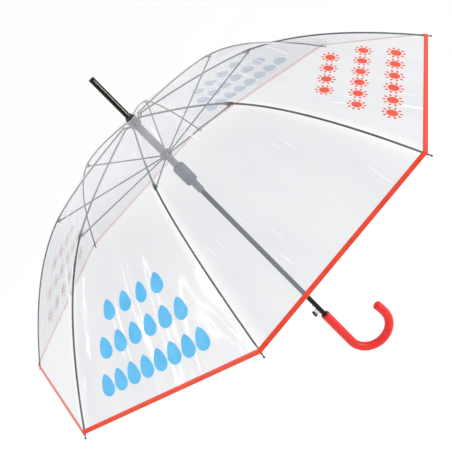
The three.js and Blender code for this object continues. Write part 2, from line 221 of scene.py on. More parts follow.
def sweep(name, centres, sides, sections, crease=40):
    """Closed sections carried along the centres; sides and sections may be one for each centre."""
    points = []
    for index, centre in enumerate(centres):
        tangent = (centres[min(index + 1, len(centres) - 1)] - centres[max(index - 1, 0)]).normalized()
        side = sides[index] if isinstance(sides, list) else sides
        side = (side - tangent * side.dot(tangent)).normalized()
        normal = tangent.cross(side)
        section = sections[index] if isinstance(sections[0], list) else sections
        points += [centre + side * x + normal * y for x, y in section]
    return make_object(name, points, wrap(len(centres), len(section)), crease)


def circle(radius, count=12):
    return [(radius * math.cos(2 * math.pi * k / count), radius * math.sin(2 * math.pi * k / count))
            for k in range(count)]


def box_mesh(name, low, high, bevel=0.0, turn=0.0):
    """A block between two corners, its edges rounded, turned about Z."""
    outline = [(low[0], low[1]), (high[0], low[1]), (high[0], high[1]), (low[0], high[1])]
    turned = Matrix.Rotation(turn, 3, "Z")
    points = [turned @ Vector((x, y, z)) for z in (low[2], high[2]) for x, y in outline]
    obj = make_object(name, points, wrap(2, 4))
    if bevel:
        soften(obj, bevel)
    return obj


def soften(obj, width, segments=3):
    """Rounds the sharp edges with a bevel that is applied at once."""
    modifier = obj.modifiers.new("round", "BEVEL")
    modifier.width = width * MM
    modifier.segments = segments
    modifier.limit_method = "ANGLE"
    modifier.angle_limit = math.radians(35)
    apply_modifiers(obj)
    shade(obj, 50)


def apply_modifiers(obj):
    bpy.context.view_layer.update()
    graph = bpy.context.evaluated_depsgraph_get()
    mesh = bpy.data.meshes.new_from_object(obj.evaluated_get(graph))
    obj.modifiers.clear()
    obj.data = mesh


def combine(obj, tools, operation="DIFFERENCE"):
    """Cuts or joins the tools with an exact boolean, then deletes them."""
    for tool in tools:
        modifier = obj.modifiers.new("cut", "BOOLEAN")
        modifier.operation = operation
        modifier.solver = "EXACT"
        modifier.object = tool
    apply_modifiers(obj)
    for tool in tools:
        bpy.data.objects.remove(tool)
    shade(obj)
    return obj


def merge(name, parts):
    """One object from several that are already in place."""
    points = []
    faces = []
    for part in parts:
        start = len(points)
        points += [part.matrix_world @ v.co / MM for v in part.data.vertices]
        faces += [[start + i for i in polygon.vertices] for polygon in part.data.polygons]
        bpy.data.objects.remove(part)
    return make_object(name, points, faces)


# ---------------------------------------------------------------- curves of the ribs

def along(point, slope, distance):
    return Vector((point[0] + distance * math.cos(slope), point[1] + distance * math.sin(slope)))


def bowed(start, start_slope, end, end_slope):
    """A quadratic curve's three points, with the given slopes at its ends."""
    run = end.x - start.x
    rise = end.y - start.y
    reach = (rise - math.tan(end_slope) * run) / (math.tan(start_slope) - math.tan(end_slope))
    return start, Vector((start.x + reach, start.y + math.tan(start_slope) * reach)), end


def curve_point(curve, t):
    a, b, c = curve
    return a * (1 - t) ** 2 + b * 2 * t * (1 - t) + c * t ** 2


def curve_slope(curve, t):
    a, b, c = curve
    d = (b - a) * (1 - t) + (c - b) * t
    return math.atan2(d.y, d.x)


INNER = bowed(RIB_START, START_SLOPE, FLEX, JOINT_SLOPE)
OUTER = bowed(FLEX, JOINT_SLOPE, RIM, RIM_SLOPE)


def outward(angle):
    return Vector((math.cos(angle), math.sin(angle), 0))


def sideways(angle):
    return Vector((-math.sin(angle), math.cos(angle), 0))


def in_rib_plane(point, rib, across=0.0):
    """A (radius, height) point of a rib's upright plane, moved across it, in the row frame."""
    return outward(rib * STEP) * point[0] + sideways(rib * STEP) * across + UP * point[1]


def rib_side(rib):
    return sideways(rib * STEP)


# ---------------------------------------------------------------- materials

class Finish:
    """A new material, with short ways to add the nodes that the finishes below need."""

    def __init__(self, name):
        self.material = bpy.data.materials.new(name)
        self.material.use_nodes = True
        self.nodes = self.material.node_tree.nodes
        self.shader = self.nodes["Principled BSDF"]

    def feed(self, node, inputs):
        """Sets a node's sockets; each value is a plain one or another node's output."""
        for key, value in inputs.items():
            if isinstance(value, bpy.types.NodeSocket):
                self.material.node_tree.links.new(value, node.inputs[key])
            else:
                node.inputs[key].default_value = value

    def add(self, kind, inputs, output, **settings):
        node = self.nodes.new(f"ShaderNode{kind}")
        for key, value in settings.items():
            setattr(node, key, value)
        self.feed(node, inputs)
        return node.outputs[output]

    def attribute(self, name, output):
        return self.add("Attribute", {}, output, attribute_name=name)

    def scaled(self, vector, scale):
        return self.add("Mapping", {"Vector": vector, "Scale": scale}, "Vector")

    def space(self, scale=(1, 1, 1)):
        return self.scaled(self.add("TexCoord", {}, "Object"), scale)

    def noise(self, vector, scale, detail=4.0, roughness=0.55):
        return self.add("TexNoise", {"Vector": vector, "Scale": scale, "Detail": detail,
                                     "Roughness": roughness}, "Fac")

    def two_tone(self, value, dark, light):
        """One colour up to 0.3, the other from 0.7 on, and a blend between them."""
        node = self.nodes.new("ShaderNodeValToRGB")
        for element, position, colour in zip(node.color_ramp.elements, (0.3, 0.7), (dark, light)):
            element.position = position
            element.color = (*colour, 1)
        self.feed(node, {"Fac": value})
        return node.outputs["Color"]

    def spread(self, value, low, high, from_low=0.3, from_high=0.7):
        return self.add("MapRange", {"Value": value, "From Min": from_low, "From Max": from_high,
                                     "To Min": low, "To Max": high}, "Result")

    def bump(self, height, strength, distance):
        return self.add("Bump", {"Height": height, "Strength": strength, "Distance": distance}, "Normal")

    def arithmetic(self, operation, first, second):
        return self.add("Math", {0: first, 1: second}, "Value", operation=operation, use_clamp=True)

    def mix(self, factor, first, second):
        """A mix of two colours; 6, 7 and 2 are the node's colour sockets."""
        return self.add("Mix", {"Factor": factor, 6: first, 7: second}, 2, data_type="RGBA")


def coated(name, dark, light, rough=(0.25, 0.4), metallic=0.0, grain=900, stretch=(1, 1, 1), dent=0.00003,
           coat=0.0, specular=0.5):
    """Moulded plastic, paint or plated metal: colour, roughness and a fine surface from noise."""
    finish = Finish(name)
    space = finish.space(stretch)
    broad = finish.noise(space, grain / 12)
    fine = finish.noise(space, grain, 6)
    finish.feed(finish.shader, {
        "Base Color": finish.two_tone(broad, dark, light), "Roughness": finish.spread(fine, *rough),
        "Normal": finish.bump(fine, 0.25, dent), "Metallic": metallic, "Coat Weight": coat,
        "Coat Roughness": 0.12, "Specular IOR Level": specular})
    return finish.material


def clear_film(name, alpha, tint, glint_colour, pale, binding):
    """Thin slightly milky film: clearer where it lies on a rib, which paints the rib's shade on the film's
    haze, pale towards the hub, with the binding's colour on its weld and painted highlight lines along its
    creases."""
    finish = Finish(name)
    sheet = finish.attribute("sheet", "Vector")
    folds = finish.noise(finish.scaled(sheet, (14, 4, 1)), 1, 2, 0.5)
    lines = finish.noise(finish.scaled(sheet, (150, 4.5, 1)), 1, 0, 0.4)
    cloud = finish.noise(finish.space(), 7, 2)
    # Painted highlights: white lines where the fine noise lines and the folds meet. They stand in for the
    # lamps' glints on the creases, whiten the colour and raise the alpha.
    painted_glint = finish.arithmetic("MULTIPLY", finish.spread(lines, 0, 1, 0.64, 0.70),
                               finish.spread(folds, 0, 1, 0.56, 0.64))
    up = finish.add("SeparateXYZ", {"Vector": sheet}, "Y")
    near_hub = finish.spread(up, 0, 1, 0.28, 0.44)
    weld = finish.spread(up, 1, 0, 0.0074, 0.0078)
    colour = finish.two_tone(cloud, tint, [c * 1.12 for c in tint])
    colour = finish.mix(near_hub, colour, (*pale, 1))
    colour = finish.mix(weld, colour, (*binding, 1))
    colour = finish.mix(painted_glint, colour, finish.two_tone(cloud, glint_colour, (1, 1, 1)))
    # Lower alpha over the rib is painted shade: it stands in for the rib keeping the light from behind off
    # the film's haze.
    total = finish.spread(finish.attribute("off_rib", "Fac"), alpha * 0.3, alpha, 0.15, 1.0)
    for extra in (finish.spread(painted_glint, 0, 0.5, 0, 1), finish.spread(weld, 0, 0.45, 0, 1),
                  finish.spread(folds, -0.03, 0.05, 0.35, 0.65)):
        total = finish.arithmetic("ADD", total, extra)
    finish.feed(finish.shader, {
        "Base Color": colour, "Alpha": total, "Roughness": finish.spread(cloud, 0.05, 0.12),
        "Normal": finish.bump(folds, 0.45, 0.005), "IOR": 1.5, "Specular IOR Level": 0.6})
    return finish.material


MATERIALS = {
    "shaft_black": coated("black_paint", (0.007, 0.007, 0.008), (0.012, 0.012, 0.013), (0.16, 0.26), 0.0,
                          700, (1, 1, 0.15), specular=0.12),
    "ferrule_nickel": coated("dark_nickel", (0.016, 0.014, 0.012), (0.034, 0.031, 0.028), (0.08, 0.13), 1.0,
                             500, (1, 1, 0.1), 0.000004),
    "collar_black": coated("gloss_black", (0.008, 0.008, 0.008), (0.015, 0.014, 0.013), (0.06, 0.14),
                           specular=0.35),
    "notch_plastic": coated("grey_nylon", (0.10, 0.105, 0.125), (0.15, 0.155, 0.18), (0.3, 0.45)),
    "ring_wire": coated("bright_wire", (0.5, 0.5, 0.52), (0.65, 0.65, 0.67), (0.18, 0.3), 1.0, 1500),
    "sleeve_plastic": coated("grey_sleeve", (0.095, 0.10, 0.125), (0.14, 0.147, 0.175), (0.3, 0.42), 0.0,
                             600, (1, 1, 0.2)),
    "spring_steel": coated("spring_steel", (0.28, 0.28, 0.30), (0.42, 0.42, 0.44), (0.22, 0.35), 1.0, 1500),
    "grip_red": coated("red_grip", (0.70, 0.013, 0.009), (0.76, 0.020, 0.014), (0.22, 0.32), 0.0, 450,
                       dent=0.00001, coat=0.05, specular=0.35),
    # The ring at the grip's mouth is dark red as painted shade of the recess there.
    "grip_ring": coated("dark_red_ring", (0.16, 0.004, 0.006), (0.24, 0.008, 0.010), (0.3, 0.45)),
    "button_white": coated("white_nylon", (0.72, 0.71, 0.68), (0.84, 0.83, 0.8), (0.35, 0.5)),
    "button_black": coated("matt_black", (0.012, 0.012, 0.014), (0.022, 0.022, 0.025), (0.32, 0.48)),
    "rib_steel": coated("rib_steel", (0.045, 0.045, 0.05), (0.13, 0.13, 0.14), (0.22, 0.38), 0.85, 220),
    "hem_orange": coated("orange_binding", (0.68, 0.032, 0.008), (0.78, 0.055, 0.014), (0.24, 0.38), 0.0,
                         700, specular=0.4),
    "print_blue": coated("blue_ink", (0.05, 0.40, 0.73), (0.085, 0.47, 0.80), (0.35, 0.5), 0.0, 500),
    "print_orange": coated("orange_ink", (0.72, 0.045, 0.010), (0.80, 0.07, 0.018), (0.35, 0.5), 0.0, 500),
    "print_blue_back": coated("blue_ink_back", (0.55, 0.70, 0.84), (0.60, 0.75, 0.89), (0.4, 0.55)),
    "print_orange_back": coated("orange_ink_back", (0.82, 0.60, 0.55), (0.87, 0.65, 0.60), (0.4, 0.55)),
    # The film's fourth colour is the colour of its painted highlight lines.
    "canopy_film": clear_film("clear_film", 0.35, (0.39, 0.41, 0.455), (0.9, 0.91, 0.93),
                              (0.80, 0.81, 0.84), (0.93, 0.70, 0.67)),
    "washer_clear": coated("clear_washer", (0.50, 0.53, 0.60), (0.60, 0.64, 0.71), (0.12, 0.25)),
}


def dress(obj, slot, body, *nodes):
    """Gives a piece its material and slot, the body it rides on, and the CAD nodes it stands for."""
    obj.data.materials.clear()
    obj.data.materials.append(MATERIALS[slot])
    if body:
        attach(obj, body)
    if nodes:
        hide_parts(*nodes)
    return obj


# ---------------------------------------------------------------- camera, light and floor

def add_camera():
    """Looks down on the canopy from outside, rolled so that the shaft leans to the upper left."""
    data = bpy.data.cameras.new("camera")
    data.sensor_width = 36
    data.lens = 67.70
    data.clip_end = 100
    camera = bpy.data.objects.new("camera", data)
    bpy.context.scene.collection.objects.link(camera)
    azimuth = math.radians(12.337)
    elevation = math.radians(22.526)
    roll = math.radians(-45.054)
    distance = 1.6511
    aim = Vector((0.0140, -0.0128, 0.3045))
    back = Vector((math.cos(elevation) * math.cos(azimuth), math.cos(elevation) * math.sin(azimuth),
                   math.sin(elevation)))
    level = UP.cross(back).normalized()
    upright = back.cross(level)
    right = level * math.cos(roll) + upright * math.sin(roll)
    top = upright * math.cos(roll) - level * math.sin(roll)
    basis = Matrix((right, top, back)).transposed()
    camera.matrix_world = Matrix.Translation(aim + back * distance) @ basis.to_4x4()
    bpy.context.scene.camera = camera


def add_area(name, place, long_axis, size, power):
    """A rectangular light aimed at the umbrella; size is its width and its length along long_axis."""
    data = bpy.data.lights.new(name, "AREA")
    data.shape = "RECTANGLE"
    data.size, data.size_y = size
    data.energy = power
    light = bpy.data.objects.new(name, data)
    back = (Vector(place) - Vector((0, 0, 0.35))).normalized()
    upright = (Vector(long_axis) - back * back.dot(Vector(long_axis))).normalized()
    basis = Matrix((upright.cross(back), upright, back)).transposed()
    light.matrix_world = Matrix.Translation(place) @ basis.to_4x4()
    bpy.context.scene.collection.objects.link(light)
    return light


def add_studio():
    bpy.context.scene.view_settings.view_transform = "Standard"
    world = bpy.data.worlds.new("studio")
    world.use_nodes = True
    background = world.node_tree.nodes["Background"]
    background.inputs["Color"].default_value = (1, 1, 1, 1)
    background.inputs["Strength"].default_value = 0.94
    bpy.context.scene.world = world
    add_area("key", (1.5, -1.7, 2.0), (0, 0, 1), (0.9, 0.9), 7)
    add_area("side_strip", (0.67, -1.77, 2.09), (0.6, -0.25, -0.7), (0.07, 1.5), 6)
    add_area("low_strip", (0.56, 1.7, -0.05), (0, 0, 1), (0.07, 1.2), 9)
    add_area("rim_strip", (0.5, 2.3, 1.2), (0, 0, 1), (0.08, 1.8), 6)
    far = 60000
    floor = make_object("floor", [(x * far, y * far, -700) for x, y in ((-1, -1), (1, -1), (1, 1), (-1, 1))],
                        [(0, 1, 2, 3)])
    finish = Finish("floor")
    shades = finish.two_tone(finish.noise(finish.space(), 0.8), (0.95, 0.95, 0.952), (0.97, 0.97, 0.97))
    finish.feed(finish.shader, {"Base Color": shades, "Roughness": 0.9, "Emission Color": (1, 1, 1, 1),
                                "Emission Strength": 0.08})
    floor.data.materials.append(finish.material)


# ---------------------------------------------------------------- ribs and stretchers

def channel_section(width, depth, wall):
    """A fluted rib: a U channel, open downwards, with round shoulders."""
    w = width / 2
    d = depth / 2
    outline = [(-w, -d), (-w, d * 0.3), (-w * 0.55, d), (w * 0.55, d), (w, d * 0.3), (w, -d),
               (w - wall, -d), (w - wall, d * 0.15), (w * 0.3, d - wall), (-w * 0.3, d - wall),
               (-w + wall, d * 0.15), (-w + wall, -d)]
    return outline[::-1]


def flat_piece(name, outline, thickness, rib, across=0.0):
    """A flat plate in a rib's plane from its (radius, height) outline."""
    points = [in_rib_plane(p, rib, across + shift) for shift in (-thickness / 2, thickness / 2)
              for p in outline]
    obj = make_object(name, points, wrap(2, len(outline)))
    soften(obj, 0.15, 2)
    return obj


def eye_outline(pivot, towards, radius, half_width):
    """A round eye with a blade that runs to a point."""
    slope = math.atan2(towards[1] - pivot[1], towards[0] - pivot[0])
    outline = []
    for step in range(13):
        outline.append(along(pivot, slope + math.radians(50 + 260 * step / 12), radius))
    outline.append(along(towards, slope - math.pi / 2, half_width))
    outline.append(along(towards, slope + math.pi / 2, half_width))
    return outline


def cross_pin(name, centre, radius, length, rib, heads):
    """A pin across a rib's plane, with a domed head at each end."""
    reach = length / 2
    end = [(reach, radius * 0.6), (reach - 0.12, radius + heads), (reach - 0.4, radius + heads),
           (reach - 0.45, radius)]
    stations = [(-place, r) for place, r in end] + end[::-1]
    centres = [in_rib_plane(centre, rib, place) for place, _ in stations]
    return sweep(name, centres, in_rib_plane((1, 0), rib), [circle(r, 16) for _, r in stations])


def add_rib(rib):
    """One rib in a single bowed length."""
    line = [curve_point(INNER, step / 24) for step in range(25)]
    line += [curve_point(OUTER, step / 36) for step in range(1, 37)] + [along(RIM, RIM_SLOPE, 1)]
    channel = sweep(f"rib_channel_{rib}", [in_rib_plane(point, rib) for point in line], rib_side(rib),
                    channel_section(2.7, 2.6, 0.5), crease=30)
    eye = eye_outline(NOTCH_PIVOT, along(RIB_START, START_SLOPE, 4), 1.9, 1.25)
    blade = flat_piece(f"rib_eye_{rib}", eye, 1.7, rib)
    body = merge(f"rib_{rib}", [channel, blade])
    dress(body, "rib_steel", None, f"rib_inner_{rib}", f"rib_outer_{rib}")
    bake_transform(body)


def add_bracket(rib):
    """The pressed steel saddle that holds the stretcher's pin under the rib."""
    def outline(corners):
        return [along(along(FLEX, JOINT_SLOPE, x), JOINT_SLOPE + math.pi / 2, y) for x, y in corners]

    saddle = [(-9, 1.3), (-9, -1.3), (-4.6, -1.5), (-2.2, -4.6), (-1.3, -5.7), (0, -6.1), (1.3, -5.7),
              (2.2, -4.6), (4.6, -1.5), (8, -1.3), (8, 1.3)]
    plates = [flat_piece(f"plate_{rib}_{side}", outline(saddle), 0.6, rib, side * 2.2) for side in (-1, 1)]
    strap = outline([(-9, -1.3), (-9, -1.9), (-4.8, -1.9), (-4.8, -1.3)])
    pin = cross_pin(f"pin_{rib}", STRETCHER_JOINT, 0.75, 6.2, rib, 0.5)
    body = merge(f"rib_bracket_{rib}", [*plates, flat_piece(f"strap_{rib}", strap, 4.4, rib), pin])
    dress(body, "rib_steel", f"rib_inner_{rib}")


def add_stretcher(rib):
    """A channel-section stretcher with a flattened eye at each end."""
    slope = math.atan2(STRETCHER_JOINT.y - RUNNER_PIVOT.y, STRETCHER_JOINT.x - RUNNER_PIVOT.x)
    near = along(RUNNER_PIVOT, slope, 6)
    far = along(STRETCHER_JOINT, slope, -6)
    centres = [in_rib_plane(near.lerp(far, step / 12), rib) for step in range(13)]
    parts = [sweep(f"stretcher_channel_{rib}", centres, rib_side(rib), channel_section(2.4, 2.2, 0.45), 30)]
    for end, pivot, tip in (("in", RUNNER_PIVOT, along(near, slope, 3)),
                            ("out", STRETCHER_JOINT, along(far, slope, -3))):
        parts.append(flat_piece(f"eye_{end}_{rib}", eye_outline(pivot, tip, 1.9, 1.0), 1.7, rib))
    body = merge(f"stretcher_arm_{rib}", parts)
    dress(body, "rib_steel", f"stretcher_{rib}", f"stretcher_{rib}")


def add_tip(rib):
    """The plated tip that holds the hem: a short sleeve, a stem and a small ball."""
    stations = [(-8, 0.9), (-7.6, 1.8), (-1.2, 1.8), (-0.5, 1.6), (0.3, 1.1), (4.6, 1.0)]
    ball = 1.8
    for step in range(9):
        angle = math.radians(-50 + 140 * step / 8)
        stations.append((TIP_REACH + ball * math.sin(angle), max(0.05, ball * math.cos(angle))))
    centres = [in_rib_plane(along(RIM, RIM_SLOPE, place), rib) for place, _ in stations]
    body = sweep(f"rib_tip_{rib}", centres, rib_side(rib), [circle(r, 16) for _, r in stations])
    dress(body, "rib_steel", f"rib_outer_{rib}")


# ---------------------------------------------------------------- film, hem and prints

def profile_point(band, t):
    """The film's line over a rib: point and slope, band 0 above the joint and 1 below it."""
    curve = OUTER if band else INNER
    slope = curve_slope(curve, t)
    return along(curve_point(curve, t), slope + math.pi / 2, FILM_LIFT), slope


def arc_table(count=80):
    """Distance up from the hem for points of the lower curve, then of the upper one."""
    table = []
    travelled = 0.0
    previous = None
    for band in (1, 0):
        for step in range(count + 1):
            t = 1 - step / count
            point, slope = profile_point(band, t)
            if previous is not None:
                travelled += (point - previous).length
            previous = point
            table.append((travelled, band, t))
    return table


ARC = arc_table()
ARC_DISTANCES = [distance for distance, _, _ in ARC]
FILM_LENGTH = ARC_DISTANCES[-1]
FILM_SAG = 4.5  # in the middle of a gore, between its ribs
FAN_REACH = 95  # how far up from the hem the tension folds run


def at_height(v):
    """Band and curve parameter at distance v up from the hem."""
    place = bisect.bisect_left(ARC_DISTANCES, v)
    if place >= len(ARC):
        return 0, 0.0
    high, band, t = ARC[place]
    if place == 0:
        return band, t
    low, _, first = ARC[place - 1]
    return band, t + (first - t) * (high - v) / (high - low)


def film_creases(gore):
    """Where a gore's soft creases run: place across, lean, width, height and stretch along the gore."""
    source = random.Random(40 + gore)
    creases = []
    for _ in range(7):
        creases.append((source.uniform(-0.8, 0.8), source.uniform(-0.5, 0.5), source.uniform(0.03, 0.08),
                        source.uniform(-1.6, 1.6), source.uniform(0.15, 0.85), source.uniform(0.15, 0.3)))
    return creases


CREASES = [film_creases(gore) for gore in range(RIBS)]
FANS = [(0.10, 0.9), (0.24, -0.7), (0.42, 0.6)]  # each fold's lean away from the rib, and its height


def unit(value):
    return max(0.0, min(1.0, value))


def fan_lift(x, v):
    """Tension folds that fan out from a rib's tip: x across from the rib and v up from the hem."""
    strength = unit((v - HEM_WIDTH) / 25) * math.exp(-(v / FAN_REACH) ** 2)
    width = 4 + 0.05 * v
    return sum(height * strength * math.exp(-((x - 5 - lean * v) / width) ** 2) for lean, height in FANS)


def film_lift(gore, q, x, v):
    """How far the film stands off the flat gore: a slight sag between the ribs, and creases."""
    up = v / FILM_LENGTH
    fade = unit((v - 6) / 40) * unit((FILM_LENGTH - v) / 60)
    span = 1 - q * q
    height = -FILM_SAG * span * math.sin(math.pi * unit(up * 1.1))
    for place, lean, width, size, middle, stretch in CREASES[gore]:
        offset = (q - place - lean * (up - middle)) / width
        window = math.exp(-((up - middle) / stretch) ** 2)
        height += size * window * math.exp(-offset * offset) * span
    return (height + fan_lift(x, v)) * fade


def gore_place(rib, side, w):
    """The gore on that side of a rib, and the place across it: -1 and 1 at its ribs, 0 in its middle."""
    return (rib % RIBS, w - 1) if side > 0 else ((rib - 1) % RIBS, 1 - w)


def between_ribs(rib, side, w, radius, height):
    """A point of the flat gore: w runs from the rib at 0 to the middle of the gore at 1."""
    radial = radius * (1 - w * (1 - math.cos(STEP)) / 2)
    return in_rib_plane((radial, height), rib, side * radius * w * math.sin(STEP) / 2)


def film_point(rib, side, w, v, lift=0.0):
    """A point of the film at w across the half gore and v up from the hem."""
    point, slope = profile_point(*at_height(v))
    gore, q = gore_place(rib, side, w)
    lean = math.atan(math.tan(slope) / math.cos(HALF))
    normal = outward(rib * STEP + side * HALF) * -math.sin(lean) + UP * math.cos(lean)
    sag = film_lift(gore, q, point.x * w * math.sin(STEP) / 2, v)
    return between_ribs(rib, side, w, point.x, point.y) + normal * (sag + lift)


def half_name(kind, rib, side):
    """The name of a piece of half a gore, "a" on one side of its rib and "b" on the other."""
    return f"{kind}_{rib}{'a' if side > 0 else 'b'}"


def rows_of(band):
    """Distances up from the hem of a band's rows, the rows at both its ends included."""
    return [distance for distance, which, _ in ARC if which == band][::2]


def gather(obj):
    """Gives a film share its own copy of its mesh."""
    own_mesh(obj)


def add_film(rib, side, band):
    """One half-gore of film over a rib length, as a single clear skin."""
    rows = rows_of(band)
    columns = 36
    shares = [column / columns for column in range(columns + 1)]
    points = []
    sheet = []
    for v in rows:
        profile, _ = profile_point(*at_height(v))
        for w in shares:
            gore, q = gore_place(rib, side, w)
            points.append(film_point(rib, side, w, v))
            sheet.append((q * profile.x * math.sin(HALF) * MM, v * MM, gore * GORE_SHIFT))
    if band == 0:
        points += [between_ribs(rib, side, w, MOUTH_RADIUS, WASHER_LOW - MOUTH_DROP) for w in shares]
        sheet += sheet[-len(shares):]
    faces = []
    for row in range(len(points) // len(shares) - 1):
        for column in range(columns):
            a = row * len(shares) + column
            faces.append([a, a + 1, a + columns + 2, a + columns + 1][::side])
    part, steel = ("lower", "outer") if band else ("upper", "inner")
    obj = make_object(half_name(f"film_{part}", rib, side), points, faces, crease=180)
    off_rib = obj.data.attributes.new("off_rib", "FLOAT", "POINT")
    place = obj.data.attributes.new("sheet", "FLOAT_VECTOR", "POINT")
    for index, spot in enumerate(sheet):
        # off_rib runs from 0 on the rib to 1 a share away from it, and sets how much painted rib shade the
        # film shows.
        clear = shares[index % len(shares)] / CLEAR_SHARE
        off_rib.data[index].value = min(1.0, clear if band else clear + UPPER_CLEAR)
        place.data[index].vector = spot
    dress(obj, "canopy_film", f"rib_{steel}_{rib}", f"canopy_{part}_{rib}")
    gather(obj)


def add_hem(rib, side):
    """The folded binding along half a gore's edge, with a weld line above its fold."""
    columns = 20
    section = [(0.0, 0.9), (0.0, 0.1), (HEM_WIDTH, 0.1), (HEM_WIDTH, 0.8), (HEM_WIDTH - 0.6, 1.1),
               (3.0, 1.1), (2.6, 0.9), (2.2, 1.1), (0.6, 1.1)]
    points = [film_point(rib, side, column / columns, v, lift) for column in range(columns + 1)
              for v, lift in section]
    faces = [face[::-side] for face in wrap(columns + 1, len(section))]
    obj = make_object(half_name("hem", rib, side), points, faces, crease=50)
    dress(obj, "hem_orange", f"rib_outer_{rib}")
    gather(obj)


def drop_radius(angle):
    """A raindrop's outline about the middle of its belly, as a share of its half height."""
    turn = abs((angle - math.pi / 2 + math.pi) % (2 * math.pi) - math.pi)
    belly = 0.7
    point = 1.3
    shoulder = 1.2  # the angle from the point where the round belly starts
    return belly + (point - belly) * unit(1 - turn / shoulder) ** 1.7


def disc(radius, middle=(0.0, 0.0), radius_of=None, spokes=40, rings=4):
    """Points and faces of a filled round mark."""
    points = [Vector(middle)]
    faces = []
    for ring in range(1, rings + 1):
        for spoke in range(spokes):
            angle = 2 * math.pi * spoke / spokes
            reach = radius * (radius_of(angle) if radius_of else 1) * ring / rings
            points.append(Vector((middle[0] + reach * math.cos(angle), middle[1] + reach * math.sin(angle))))
    for spoke in range(spokes):
        other = (spoke + 1) % spokes
        faces.append([0, 1 + spoke, 1 + other])
        for ring in range(1, rings):
            a = 1 + (ring - 1) * spokes
            b = 1 + ring * spokes
            faces.append([a + spoke, b + spoke, b + other, a + other])
    return points, faces


def sun_mark(half_height):
    """A plain disc with ten short rays round it."""
    points, faces = disc(half_height * 0.56)
    rays = 10
    for ray in range(rays):
        angle = 2 * math.pi * (ray + 0.5) / rays
        forward = Vector((math.cos(angle), math.sin(angle)))
        across = Vector((-forward.y, forward.x))
        start = len(points)
        for reach, half_width in ((0.70, 0.115), (0.85, 0.10), (1.0, 0.075)):
            for side in (-1, 1):
                points.append((forward * reach + across * half_width * side) * half_height)
        faces += [[start, start + 2, start + 3, start + 1], [start + 2, start + 4, start + 5, start + 3]]
    return points, faces


def drop_mark(half_height):
    """A plain raindrop, its point up."""
    return disc(half_height, (0.0, -0.3 * half_height), drop_radius)


# Rows of a print: height of the row's middle above the hem, half height of a mark, distance between
# marks, and how many stand on each side of the gore's middle.
SUN_ROWS = [(58.5, 18.0, 40.0, 3), (117.5, 16.5, 36.5, 3), (174.5, 16.5, 37.0, 2)]
DROP_ROWS = [(58.5, 19.5, 30.0, 4), (117.5, 19.5, 34.0, 3), (174.5, 18.5, 37.0, 2)]


def rim_edges(faces):
    """The edges of a flat mark that only one face uses, in that face's order."""
    edges = [(face[k - 1], face[k]) for face in faces for k in range(len(face))]
    known = set(edges)
    return [(a, b) for a, b in edges if (b, a) not in known]


def add_print(rib, side, slot, mark_of, rows):
    """Half a gore's print: rows of plain marks, thin solids on the film with a paler underside."""
    points = []
    faces = []
    backs = set()
    for row_height, half_height, pitch, number in rows:
        mark_points, mark_faces = mark_of(half_height)
        size = len(mark_points)
        for place in range(number):
            start = len(points)
            centre = (place + 0.5) * pitch
            for lift in (PRINT_TOP, PRINT_BASE):
                for x, y in mark_points:
                    v = row_height + y
                    profile, _ = profile_point(*at_height(v))
                    w = 1 - (centre + x) / (profile.x * math.sin(HALF))
                    points.append(film_point(rib, side, w, v, lift))
            faces += [[start + index for index in face] for face in mark_faces]
            faces += [[start + b, start + a, start + a + size, start + b + size]
                      for a, b in rim_edges(mark_faces)]
            backs.update(range(len(faces), len(faces) + len(mark_faces)))
            faces += [[start + size + index for index in face[::-1]] for face in mark_faces]
    obj = make_object(half_name("print", rib, side), points, [face[::side] for face in faces], crease=60)
    dress(obj, slot, f"rib_outer_{rib}")
    obj.data.materials.append(MATERIALS[f"{slot}_back"])
    for index in backs:
        obj.data.polygons[index].material_index = 1
    gather(obj)


# ---------------------------------------------------------------- hubs, runner and shaft

def barrel(name, inner, outer, low, high, rounding, segments=72):
    """A tube about the shaft's axis, or a solid cylinder where its inner radius is 0."""
    outline = [(inner, low), (outer, low), (outer, high), (inner, high)]
    return lathe(name, rounded(outline, rounding), segments)


def button_box(name, reach, half_width, rise, bevel=0.0):
    """A block on the button's side of the shaft, from and to along that side and in height."""
    return box_mesh(name, (reach[0], -half_width, rise[0]), (reach[1], half_width, rise[1]), bevel,
                    BUTTON_TURN)


def eye_ring(name, height, radius, count):
    """A ring of round section that runs through all eight eyes."""
    return lathe(name, [(NOTCH_PIVOT.x + x, height + y) for x, y in circle(radius, count)], 96)


def slotted_hub(name, outline, pivot_height, slot_low, slot_high):
    """A moulded hub with a slot for each rib and a round channel for the ring wire."""
    cutters = [eye_ring("channel", pivot_height, 0.95, 10)]
    for rib in range(RIBS):
        cutters.append(box_mesh("slot", (6.5, -1.3, slot_low), (16, 1.3, slot_high), turn=rib * STEP))
    return combine(lathe(name, rounded(outline, 0.5), 96), cutters)


def add_hubs():
    low, top = heights("top_notch")
    shoulder = low + 11.3
    outline = [(5.3, low), (11.4, low), (11.4, shoulder), (10, shoulder), (10, top), (5.3, top)]
    notch = slotted_hub("notch_hub", outline, NOTCH_PIVOT.y, low - 1, shoulder)
    dress(notch, "notch_plastic", "frame", "top_notch")
    low, top = CROWN_LOW, CROWN_HIGH
    outline = [(5.5, low), (10.6, low), (11.4, low + 1), (11.4, top), (5.5, top)]
    crown = slotted_hub("crown_hub", outline, RUNNER_PIVOT.y, low + 3, top + 1)
    dress(crown, "notch_plastic", "runner", "runner_crown")
    dress(eye_ring("notch_ring", NOTCH_PIVOT.y, 0.6, 12), "ring_wire", "frame", "notch_wire")
    dress(eye_ring("crown_ring", RUNNER_PIVOT.y, 0.6, 12), "ring_wire", "runner", "runner_wire")


